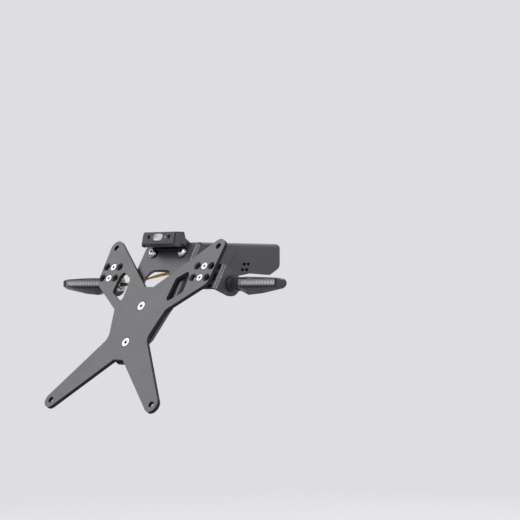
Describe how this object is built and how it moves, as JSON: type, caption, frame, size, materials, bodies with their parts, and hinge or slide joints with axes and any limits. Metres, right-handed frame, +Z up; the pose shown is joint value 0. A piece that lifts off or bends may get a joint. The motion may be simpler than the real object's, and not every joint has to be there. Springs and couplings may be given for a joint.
{
  "type": "tail tidy",
  "caption": "Motorcycle number plate carrier with an X-shaped plate, folded under-tail brackets, slim indicators on stems and a small plate lamp.",
  "frame": {"origin": "middle of the four tail bolt holes, on the top face of the base bracket", "axes": "+Z up and out of the top face, +Y to the front of the motorcycle, +X to its right side, from indicator to indicator"},
  "size_m": [0.3208, 0.2158, 0.1756],
  "materials": {
    "carrier": "fine black powder coat, satin",
    "bracket": "black powder coat, satin",
    "zinc": "bright zinc plating",
    "black_steel": "black oxide",
    "rubber": "matte black",
    "spacer": "matte black",
    "housing": "fine satin moulding",
    "smoked_lens": "glossy smoked",
    "led": "pale board with light elements",
    "lamp_body": "fine satin moulding",
    "lamp_lens": "milky clear",
    "lamp_window": "clear",
    "lead": "soft coloured insulation",
    "plug": "soft black sleeve"
  },
  "bodies": {
    "root": {"plate_carrier": "carrier", "centre_bracket": "bracket", "base_bracket": "bracket", "left_indicator_bracket": "bracket", "right_indicator_bracket": "bracket", "plate_lamp_bracket": "bracket", "carrier_screws": "zinc", "carrier_nuts": "zinc", "centre_bolts": "zinc", "centre_bolt_washers": "zinc", "centre_bolt_nuts": "zinc", "bracket_screws": "zinc", "bracket_nuts": "zinc", "stem_studs": "zinc", "stem_washers": "zinc", "stem_nuts": "zinc", "plate_lamp_nuts": "zinc", "side_bolts": "black_steel", "side_nuts": "black_steel", "plate_lamp_screws": "black_steel", "carrier_washers": "rubber", "left_stem": "rubber", "right_stem": "rubber", "bracket_spacers": "spacer", "lead_clips": "spacer", "left_indicator_housing": "housing", "right_indicator_housing": "housing", "left_indicator_lens": "smoked_lens", "right_indicator_lens": "smoked_lens", "left_led_strip": "led", "right_led_strip": "led", "plate_lamp_housing": "lamp_body", "plate_lamp_oval_lens": "lamp_lens", "plate_lamp_sensor": "lamp_lens", "plate_lamp_window": "lamp_window", "left_lead": "lead", "right_lead": "lead", "left_lead_plug": "plug", "right_lead_plug": "plug"}
  },
  "joints": []
}
